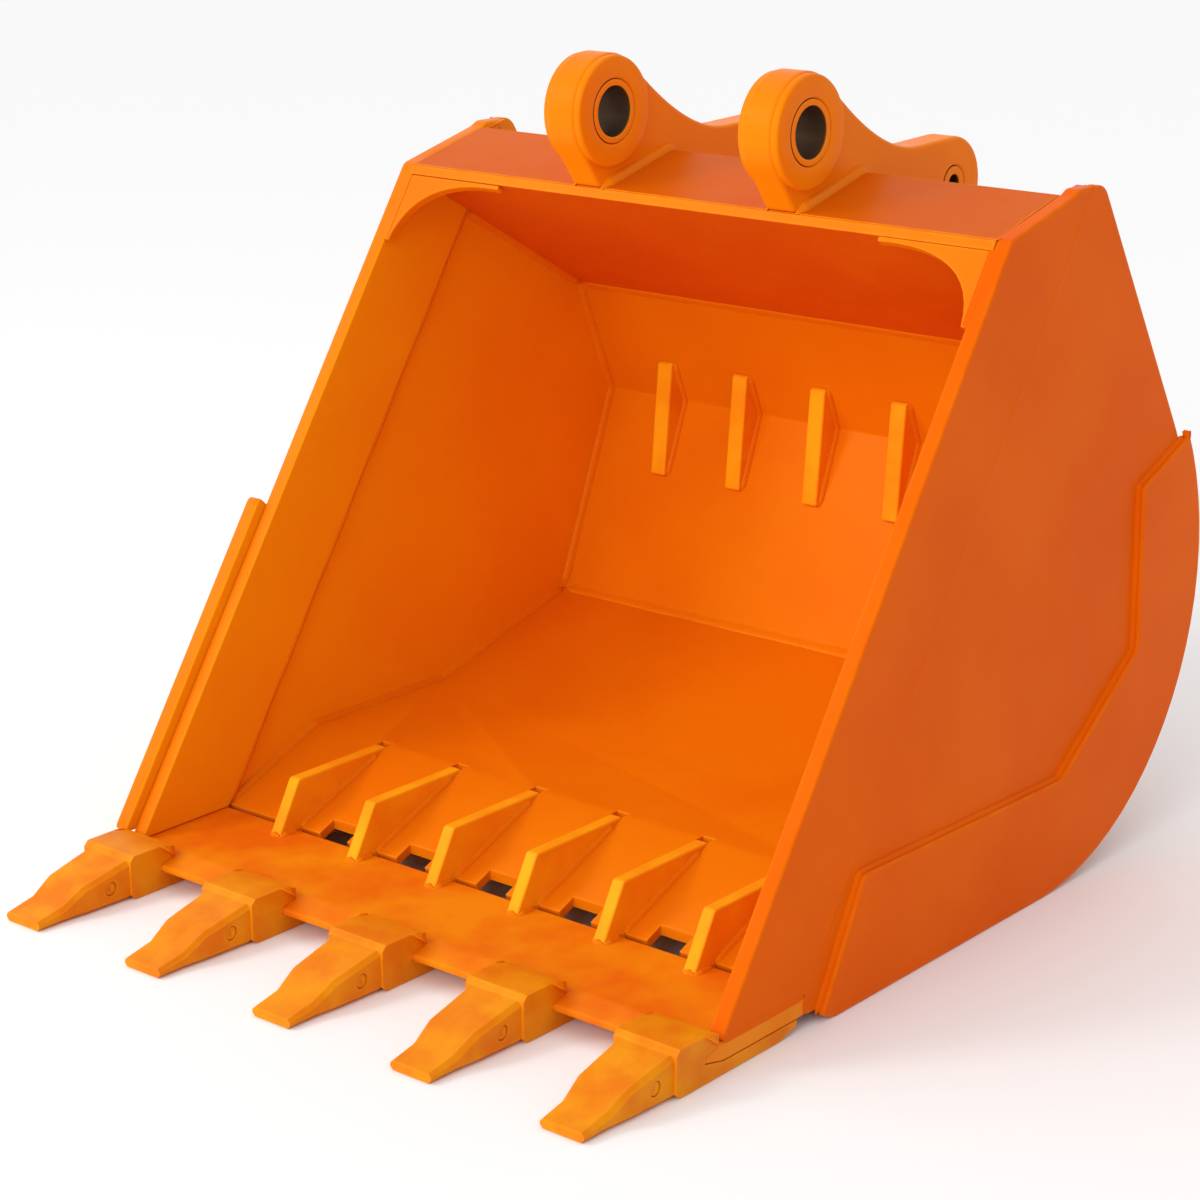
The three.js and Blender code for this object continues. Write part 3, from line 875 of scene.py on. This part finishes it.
@dataclass
class Ribs:
    """Six ribs outside the shell and the fingers inside its back."""

    paint: bpy.types.Material
    outside: bpy.types.Material
    count: int = 6

    def build(self) -> None:
        """Builds every rib and finger from its outline."""
        kinds = (("floor_rib", 0.003, 0.005), ("heel_rib", 0.003, 0.008),
                 ("back_finger", 0.004, 0.016))
        for kind, edge, corner in kinds:
            for i in range(1, self.count + 1):
                node = f"{kind}_{i}"
                x0, x1 = span(node)
                # Floor ribs and back fingers get a painted light; heel ribs get the plain enamel.
                paint = self.outside if kind == "heel_rib" else self.paint
                plate = RoundedPlate(f"{node}_shape", side_loops(node), x0, x1, edge, corner)
                plate.build(paint, [node])


@dataclass
class Hanger:
    """The two hinge ears with their collars and bushes."""

    paint: bpy.types.Material
    steel: bpy.types.Material
    edge: float = 0.006
    corner: float = 0.010
    collar_edge: float = 0.005
    bush_edge: float = 0.002

    def build(self) -> None:
        """Builds both ears."""
        for label in ("left", "right"):
            self.ear(label)
            for bush in ("pin_bush", "link_bush"):
                self.bush(f"{bush}_{label}")

    def ear(self, label: str) -> None:
        """Builds one ear: a rounded plate, and a collar turned about the pin's axis."""
        node = f"ear_{label}"
        x0, x1 = span(f"link_bush_{label}")
        loops = side_loops(node, x1)
        axis = centre_of(f"pin_bush_{label}")
        bore = self.outer_radius(f"pin_bush_{label}") + GAP
        collar = max(loops[1:], key=path_length)
        radius = float(np.linalg.norm(collar - axis[1:], axis=1).max())
        turn = np.linspace(0.0, 2 * math.pi, 96, endpoint=False)[::-1]
        hole = axis[1:] + bore * np.stack([np.cos(turn), np.sin(turn)], axis=1)
        link_axis = centre_of(f"link_bush_{label}")
        link_bore = self.outer_radius(f"link_bush_{label}") + GAP
        small = link_axis[1:] + link_bore * np.stack([np.cos(turn), np.sin(turn)], axis=1)
        plate = RoundedPlate(f"{node}_shape", [loops[0]], x0, x1, self.edge, self.corner, 4,
                             [hole, small])
        places, faces, smooth = plate.arrays()
        low, high = span(node)
        ring, quads = lathe(*ring_profile(low, high, bore, radius, self.collar_edge), axis)
        faces += (quads + len(places)).tolist()
        smooth = np.concatenate([smooth, np.ones(len(quads), dtype=bool)])
        piece = make_piece(f"{node}_shape", np.concatenate([places, ring]), faces, self.paint,
                           smooth)
        register(piece, [node], BODY)

    def bush(self, node: str) -> None:
        """Turns one bush with chamfered mouths."""
        low, high = span(node)
        axis = centre_of(node)
        inner = self.inner_radius(node)
        profile = ring_profile(low, high, inner, self.outer_radius(node), self.bush_edge)
        places, quads = lathe(*profile, axis)
        piece = make_piece(f"{node}_shape", places, quads.tolist(), self.steel)
        paint_ends(piece, low, high, self.paint)
        register(piece, [node], BODY)

    @staticmethod
    def outer_radius(node: str) -> float:
        """Outside radius of a turned CAD node."""
        places, _ = node_arrays(node)
        return float(np.linalg.norm(places[:, 1:] - centre_of(node)[1:], axis=1).max())

    @staticmethod
    def inner_radius(node: str) -> float:
        """Bore radius of a turned CAD node."""
        places, _ = node_arrays(node)
        return float(np.linalg.norm(places[:, 1:] - centre_of(node)[1:], axis=1).min())


@dataclass
class Teeth:
    """Five cast adapters on the lip, with their points, pins and retainer rings."""

    paint: bpy.types.Material
    steel: bpy.types.Material
    count: int = 5
    edge: float = 0.004
    ring_edge: float = 0.001
    chamfer: float = 0.0025
    sides: int = 48

    def build(self) -> None:
        """Builds every tooth."""
        for i in range(1, self.count + 1):
            for node in (f"adapter_{i}", f"tooth_point_{i}"):
                piece = soft_copy(node, f"{node}_shape", self.paint, self.edge)
                register(piece, [node], BODY)
            self.ring(f"retainer_ring_{i}")
            self.pin(i)

    def ring(self, node: str) -> None:
        """Turns one retainer ring."""
        low, high = span(node)
        inner, outer = Hanger.inner_radius(node), Hanger.outer_radius(node)
        profile = ring_profile(low, high, inner, outer, self.ring_edge)
        places, quads = lathe(*profile, centre_of(node), self.sides)
        piece = make_piece(f"{node}_shape", places, quads.tolist(), self.steel)
        register(piece, [node], BODY)

    def pin(self, i: int) -> None:
        """Turns one tooth pin with chamfered ends."""
        node = f"tooth_pin_{i}"
        low, high = span(node)
        t = np.linspace(0.0, math.pi / 2, 5)
        rise = self.chamfer * (1 - np.cos(t))
        reach = Hanger.outer_radius(node) - self.chamfer * (1 - np.sin(t))
        x = np.concatenate([[low], low + rise, high - rise[::-1], [high]])
        r = np.concatenate([[0.0], reach, reach[::-1], [0.0]])
        places, quads = lathe(x, np.maximum(r, 1e-5), centre_of(node), self.sides)
        piece = make_piece(f"{node}_shape", places, quads.tolist(), self.steel)
        paint_ends(piece, low, high, self.paint)
        register(piece, [node], f"pin_{i}")


def runs(loop: Array, keep: Array) -> list[Array]:
    """Splits a closed outline into the stretches whose edges are kept.

    Args:
        loop: The outline, (n, 2).
        keep: Whether each edge, from a point to the next, is kept.

    Returns:
        The stretches, each an open path, in the outline's direction.
    """
    count = len(loop)
    begins = np.flatnonzero(keep & ~np.roll(keep, 1))
    found = []
    for begin in begins:
        span_of = 1
        while keep[(begin + span_of) % count]:
            span_of += 1
        found.append(loop[np.arange(begin, begin + span_of + 1) % count])
    return found


def edges_of(loop: Array) -> tuple[Array, Array, Array]:
    """Lengths, middles and outward normals of an anticlockwise outline's edges."""
    step = np.roll(loop, -1, axis=0) - loop
    length = np.linalg.norm(step, axis=1)
    return length, loop + step / 2, np.stack([step[:, 1], -step[:, 0]], axis=1) / length[:, None]


def side_toward(loop: Array, centre: Array, least: float, sign: float = 1.0) -> Array:
    """The longest stretch of an outline that faces a point, or turns its back to it.

    An edge faces the point if its outward normal and the way to the point make less than about
    70 degrees.

    Args:
        loop: The outline, anticlockwise.
        centre: The point.
        least: The shortest edge that counts.
        sign: +1 for facing, -1 for turning away.

    Returns:
        The stretch, an open path.
    """
    length, middle, normal = edges_of(loop)
    facing_it = np.sum(normal * unit(centre - middle), axis=1) * sign > 0.34
    found = runs(loop, facing_it & (length > least))
    return max(found, key=path_length)


@dataclass
class Welds:
    """The weld beads where the plates, ribs, ears and teeth meet."""

    paint: bpy.types.Material
    ground: dict[str, bpy.types.Material]
    ribs: int = 6
    teeth: int = 5
    slot_gap: float = 0.020
    gusset_gap: float = 0.016
    corner_gap: float = 0.010
    count: int = 60
    never: float = 10.0
    gusset_leg: float = 0.122
    main: Bead = Bead(0.009, 0.0065)
    light: Bead = Bead(0.006, 0.005)
    heavy: Bead = Bead(0.011, 0.008)
    flush: FlushSeam = FlushSeam()

    def build(self) -> None:
        """Lays every bead."""
        low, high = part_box("side_plate_right")
        self.centre = np.array([(low[1] + high[1]) / 2, (low[2] + high[2]) / 2])
        self.inside()
        self.outside()
        self.on_ribs()
        self.on_ears()
        self.on_teeth()

    def inside(self) -> None:
        """Beads in the corners between the shell and the sides, and along the bars' steps."""
        for label, side in (("left", 1.0), ("right", -1.0)):
            run = WeldRun(f"corner_beads_{label}", self.main)
            face = span(f"side_plate_{label}")[1 if side > 0 else 0]
            for node in ("floor_plate", "back_plate"):
                path = side_toward(side_loops(node)[0], self.centre, 0.03)
                run.in_plane(path, face, side, -1.0)
            top, foot, inward = seam_line(label)
            tube = side_toward(side_loops("torque_tube_plate")[0], self.centre, 0.03)
            run.in_plane(self.behind(tube, top, inward), face, side, -1.0)
            path = np.linspace((face, *top), (face, *foot), self.count)
            run.add(path, (side, 0.0, 0.0), (0.0, *inward))
            run.build(self.paint)
        run = WeldRun("bend_beads", self.main)
        for first, second in (("floor_plate", "back_plate"), ("back_plate", "torque_tube_plate")):
            self.across_bend(run, first, second)
        run.build(self.paint)

    def behind(self, path: Array, through: Array, inward: Array) -> Array:
        """Keeps the part of a path behind a bar's joint line."""
        fine = refine(path, 0.005)
        return fine[(fine - through) @ inward > 0.004]

    def across_bend(self, run: WeldRun, first: str, second: str) -> None:
        """Lays a bead across the width where two shell plates meet at a bend."""
        one = side_toward(side_loops(first)[0], self.centre, 0.03)
        two = side_toward(side_loops(second)[0], self.centre, 0.03)
        pairs = [(a, b) for a in (one, one[::-1]) for b in (two, two[::-1])]
        a, b = min(pairs, key=lambda pair: np.linalg.norm(pair[0][0] - pair[1][0]))
        at = (a[0] + b[0]) / 2
        half = span(second)[1] - 0.008
        middle = centre_of(second)[0]
        path = np.linspace((2 * middle - half, *at), (half, *at), 300)
        lift = unit(a[1] - a[0])
        drop = unit(b[1] - b[0])
        run.add(path, (0.0, *lift), (0.0, *drop))

    def outside(self) -> None:
        """Beads round the wear plates, and flush seams where plates lie in one plane."""
        for label, side in (("left", -1.0), ("right", 1.0)):
            node = f"heel_wear_plate_{label}"
            face = span(f"side_plate_{label}")[1 if side > 0 else 0]
            loop = side_loops(node)[0]
            length, _, _ = edges_of(loop)
            border = max(runs(loop, length > 0.08), key=path_length)
            # On the right the bead and seams carry the painted shade of the right side plates'
            # outside.
            run = WeldRun(f"wear_plate_bead_{label}", self.light)
            run.in_plane(border, face, side, -1.0)
            run.build(self.ground[label])
            seams = WeldRun(f"ground_seams_{label}", self.flush)
            top, foot, inward = seam_line(label)
            path = np.linspace((face, *top), (face, *foot), self.count)
            seams.add(path, (0.0, *inward), (side, 0.0, 0.0))
            self.lip_seam(seams, label, face, side)
            self.top_seam(seams, label, side)
            seams.build(self.ground[label])

    def lip_seam(self, seams: WeldRun, label: str, face: float, side: float) -> None:
        """Fills the joint between a side and the lip's end."""
        low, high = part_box("lip_plate")
        bar_low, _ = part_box(f"side_bar_{label}")
        path = np.linspace((face, bar_low[1] + 0.004, high[2]), (face, high[1] - 0.002, high[2]),
                           self.count)
        seams.add(path, (0.0, 0.0, 1.0), (side, 0.0, 0.0))
        path = np.linspace((face, high[1], high[2]), (face, high[1], low[2] + 0.001), 20)
        seams.add(path, (0.0, 1.0, 0.0), (side, 0.0, 0.0))

    def top_seam(self, seams: WeldRun, label: str, side: float) -> None:
        """Fills the joints round the top corner: top plate to side, and gusset to bar."""
        bar = side_loops(f"side_bar_{label}")[0]
        corner = bar[np.argmax(bar[:, 1] - bar[:, 0])]
        joint, foot, inward = seam_line(label)
        upper = side_toward(side_loops("top_plate")[0], self.centre, 0.10, -1.0)
        ridge = upper[np.argmax(upper[:, 1])]
        for ends, node in (((corner, joint), "side_bar"), ((joint, ridge), "side_plate")):
            face = span(f"{node}_{label}")[0 if side > 0 else 1]
            along = unit(ends[1] - ends[0])
            path = np.linspace((face, *ends[0]), (face, *ends[1]), self.count)
            seams.add(path, (1.0, 0.0, 0.0), (0.0, -along[1], along[0]))
        face = span(f"side_bar_{label}")[0 if side > 0 else 1]
        down = unit(foot - joint)
        reach = np.linspace(self.gusset_gap, self.gusset_gap + self.gusset_leg, 40)[:, None]
        path = np.column_stack([np.full(40, face), corner + reach * down])
        seams.add(path, (1.0, 0.0, 0.0), (0.0, *-inward))

    def on_ribs(self) -> None:
        """Beads on both faces of the ribs and fingers."""
        floor = side_toward(side_loops("floor_plate")[0], self.centre, 0.03)
        lip_low, lip_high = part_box("lip_plate")
        for i in range(1, self.ribs + 1):
            run = WeldRun(f"rib_beads_{i}", self.light)
            x0, x1 = span(f"floor_rib_{i}")
            rib_low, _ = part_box(f"floor_rib_{i}")
            tongue = min((floor[:2], floor[-2:]), key=lambda part: part[:, 1].min())
            foot = np.array([[rib_low[1], lip_high[2]], [lip_high[1], lip_high[2]]])
            tongue = self.upward(tongue)
            tongue[-1] -= unit(tongue[-1] - tongue[0]) * self.slot_gap
            for x, side in ((x0, -1.0), (x1, 1.0)):
                run.in_plane(tongue, x, side, 1.0)
                run.in_plane(foot, x, side, 1.0)
            front = np.linspace((x0, rib_low[1], lip_high[2]), (x1, rib_low[1], lip_high[2]), 12)
            run.add(front, (0.0, -1.0, 0.0), (0.0, 0.0, 1.0))
            finger = side_loops(f"back_finger_{i}")[0]
            back = side_toward(finger, self.centre, 0.05, -1.0)
            x0, x1 = span(f"back_finger_{i}")
            for x, side in ((x0, -1.0), (x1, 1.0)):
                run.in_plane(back, x, side, 1.0)
            run.build(self.paint)

    @staticmethod
    def upward(path: Array) -> Array:
        """Turns a path so that it runs towards the heel."""
        return (path if path[-1, 0] > path[0, 0] else path[::-1]).copy()

    def on_ears(self) -> None:
        """Beads at the feet of the ears."""
        for label in ("left", "right"):
            run = WeldRun(f"ear_beads_{label}", self.heavy)
            x0, x1 = span(f"link_bush_{label}")
            foot = side_toward(side_loops(f"ear_{label}", x1)[0], self.centre, 0.05)
            top_low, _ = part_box("top_plate")
            foot = foot[foot[:, 0] > top_low[1] - 0.010]
            for x, side in ((x0, -1.0), (x1, 1.0)):
                run.in_plane(foot, x, side, 1.0)
            run.build(self.paint)

    def on_teeth(self) -> None:
        """Beads across the rear ends of the adapters' legs."""
        lip_low, lip_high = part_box("lip_plate")
        for i in range(1, self.teeth + 1):
            run = WeldRun(f"adapter_beads_{i}", self.main)
            low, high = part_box(f"adapter_{i}")
            left, right = low[0] + self.corner_gap, high[0] - self.corner_gap
            rear = (high[1], lip_low[2])
            under = np.linspace((left, *rear), (right, *rear), self.count)
            run.add(under, (0.0, 1.0, 0.0), (0.0, 0.0, -1.0))
            loop = side_loops(f"adapter_{i}")[0]
            above = loop[loop[:, 1] > lip_high[2] + 0.005]
            toe_y = above[:, 0].max()
            behind = loop[(np.abs(loop[:, 0] - toe_y) < 1e-4) & (loop[:, 1] > lip_low[2])]
            toe_z = behind[:, 1].min()
            below = loop[:, 1] < (lip_low[2] + lip_high[2]) / 2
            bevel = loop[np.argmin(np.abs(loop[:, 0] - lip_low[1]) + self.never * below)]
            slope = unit(np.array([toe_y, toe_z]) - bevel)
            toe = np.linspace((left, toe_y, toe_z), (right, toe_y, toe_z), self.count)
            run.add(toe, (0.0, *slope), (0.0, 0.0, 1.0))
            for face, side in ((low[0], -1.0), (high[0], 1.0)):
                run.in_plane(np.array([bevel, [toe_y, toe_z]]), face, side, 1.0)
            run.build(self.paint)


# ---------------------------------------------------------------- the studio

@dataclass(frozen=True)
class Studio:
    """Pale floor, soft lights and the camera."""

    camera_place: tuple[float, float, float] = (2.758, -3.370, 1.772)
    azimuth: float = 39.52
    elevation: float = 16.99
    focal_ratio: float = 2922.8 / 1200.0
    fill: float = 1.0
    far_side: float = 0.62
    sun_strength: float = 1.05
    backdrop: float = 1.0

    def build(self) -> None:
        """Sets the camera, floor, lights and background."""
        self.camera()
        self.floor()
        self.sun((0.10, -0.90, 0.40))
        self.light("softbox", (-3.0, -3.4, 3.4), 70.0, 1.6, (1.0, 0.98, 0.94))
        world = bpy.data.worlds.new("studio")
        world.use_nodes = True
        nodes, links = world.node_tree.nodes, world.node_tree.links
        nodes["Background"].inputs["Color"].default_value = (1.0, 1.0, 1.0, 1.0)
        rays = nodes.new("ShaderNodeSeparateXYZ")
        links.new(nodes.new("ShaderNodeTexCoord").outputs["Generated"], rays.inputs["Vector"])
        shade = ranged(nodes, links, rays.outputs["X"], (-0.1, 0.7),
                       (self.fill, self.fill * self.far_side))
        camera = nodes.new("ShaderNodeLightPath").outputs["Is Camera Ray"]
        seen = ranged(nodes, links, camera, (0.0, 1.0), (0.0, self.backdrop))
        links.new(shade, seen.node.inputs["To Min"])
        links.new(seen, nodes["Background"].inputs["Strength"])
        bpy.context.scene.world = world
        bpy.context.scene.view_settings.view_transform = "Standard"

    def camera(self) -> None:
        """Points the camera along its azimuth and elevation, level."""
        data = bpy.data.cameras.new("camera")
        data.sensor_width = 36.0
        data.lens = self.focal_ratio * data.sensor_width
        data.clip_end = 100.0
        camera = bpy.data.objects.new("camera", data)
        bpy.context.scene.collection.objects.link(camera)
        turn = Matrix.Rotation(math.radians(self.azimuth), 4, "Z")
        tilt = Matrix.Rotation(math.radians(90.0 - self.elevation), 4, "X")
        camera.matrix_world = Matrix.Translation(Vector(self.camera_place)) @ turn @ tilt
        bpy.context.scene.camera = camera

    @staticmethod
    def floor() -> None:
        """Lays a plain pale floor."""
        mat = bpy.data.materials.new("floor")
        mat.use_nodes = True
        shader = mat.node_tree.nodes["Principled BSDF"]
        shader.inputs["Base Color"].default_value = (0.93, 0.93, 0.93, 1.0)
        shader.inputs["Roughness"].default_value = 0.85
        size = 30.0
        places = size * np.array([[-1.0, -1.0, 0.0], [1.0, -1.0, 0.0], [1.0, 1.0, 0.0],
                                  [-1.0, 1.0, 0.0]])
        floor = make_piece("floor", places, [[0, 1, 2, 3]], mat, False)

    def sun(self, toward: tuple[float, float, float]) -> None:
        """Adds a broad, soft light from far off; toward points at it."""
        data = bpy.data.lights.new("broad", "SUN")
        data.energy, data.angle = self.sun_strength, math.radians(35.0)
        lamp = bpy.data.objects.new("broad", data)
        lamp.rotation_euler = Vector(toward).to_track_quat("Z", "Y").to_euler()
        bpy.context.scene.collection.objects.link(lamp)

    @staticmethod
    def light(name: str, place: tuple[float, float, float], power: float, size: float,
              colour: tuple[float, float, float]) -> None:
        """Adds a square soft light that faces the bucket."""
        data = bpy.data.lights.new(name, "AREA")
        data.energy, data.size, data.color = power, size, colour
        lamp = bpy.data.objects.new(name, data)
        lamp.location = place
        aim = Vector((0.0, 0.0, 0.4)) - Vector(place)
        lamp.rotation_euler = aim.to_track_quat("-Z", "Y").to_euler()
        bpy.context.scene.collection.objects.link(lamp)


def main() -> None:
    """Builds the looks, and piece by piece."""
    logging.basicConfig(level=logging.INFO, format="%(message)s")
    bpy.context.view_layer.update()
    plain = ((0.80, 0.190, 0.0015), (0.77, 0.160, 0.0015))
    enamel = Paint("orange enamel", *plain).material()
    # A lighter copy of the enamel: a painted light on the left side plates' inner faces.
    light = ((0.94, 0.330, 0.004), (0.91, 0.290, 0.004))
    # A darker copy of the enamel: a painted shade on the outside of the right side plates and their
    # welds.
    dark = ((0.78, 0.120, 0.0010), (0.74, 0.100, 0.0010))
    lit = Paint("left_inside_enamel_with_painted_light", *light).material()
    # The right side plates' outside, with a painted shade.
    outer = Paint("outer_enamel_with_painted_shade", *dark, shine=0.04).material()
    # The right ground seams and wear plate bead take the darker colours, the same painted shade as
    # the right side plates' outside.
    ground = {"left": Paint("left ground enamel", *plain, wear=0.0).material(),
              "right": Paint("right_ground_enamel_with_painted_shade", *dark, shine=0.04, wear=0.0).material()}
    # A darker copy of the enamel: a painted shade on the top plate's upward faces.
    roof_with_painted_shade = Paint("roof enamel", (0.62, 0.105, 0.001), (0.60, 0.095, 0.001), shine=0.04).material()
    # A lighter copy of the enamel: a painted light on the ears, their collars and the bushes' ends.
    ears_with_painted_light = Paint("ear_enamel_with_painted_light", (0.93, 0.225, 0.002), (0.88, 0.190, 0.002), shine=0.08).material()
    # A lighter copy of the enamel: a painted light on the floor ribs and back fingers.
    rib_with_painted_light = Paint("rib enamel", (0.95, 0.400, 0.006), (0.90, 0.280, 0.004), Gloss.SATIN,
                0.1, 0.2, 0.1, 0.2, 9.0).material()
    rough = Paint("worn enamel", (0.84, 0.240, 0.002), (0.77, 0.135, 0.002), Gloss.SATIN,
                  0.1, 0.2, 0.1, 0.2, 9.0).material()
    # A darker copy of the enamel: a painted shade on the torque tube plate's forward and downward
    # faces.
    shaded = Paint("torque_underside_enamel_with_painted_shade", (0.72, 0.110, 0.004), (0.68, 0.092, 0.004)).material()
    cast = Paint("cast enamel", (0.80, 0.265, 0.003), (0.74, 0.175, 0.002), Gloss.SATIN,
                 0.1, 0.2, 0.25, 0.2, 15.0).material()
    steel = Paint("pin steel", (0.060, 0.032, 0.018), (0.035, 0.02, 0.012), Gloss.SATIN,
                  0.1, 0.2, 0.15).material()
    Sides({"left": enamel, "right": outer}, {"left": lit, "right": enamel}).build()
    painted_shades = {"torque_tube_plate": ((0.0, -0.6, -0.8), shaded),
              "top_plate": ((0.0, 0.0, 1.0), roof_with_painted_shade)}
    Shell(enamel, painted_shades, rough).build()
    Ribs(rib_with_painted_light, enamel).build()
    Hanger(ears_with_painted_light, steel).build()
    Teeth(cast, steel).build()
    Welds(enamel, ground).build()
    Studio().build()
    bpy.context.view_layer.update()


if __name__ == "__main__":
    main()
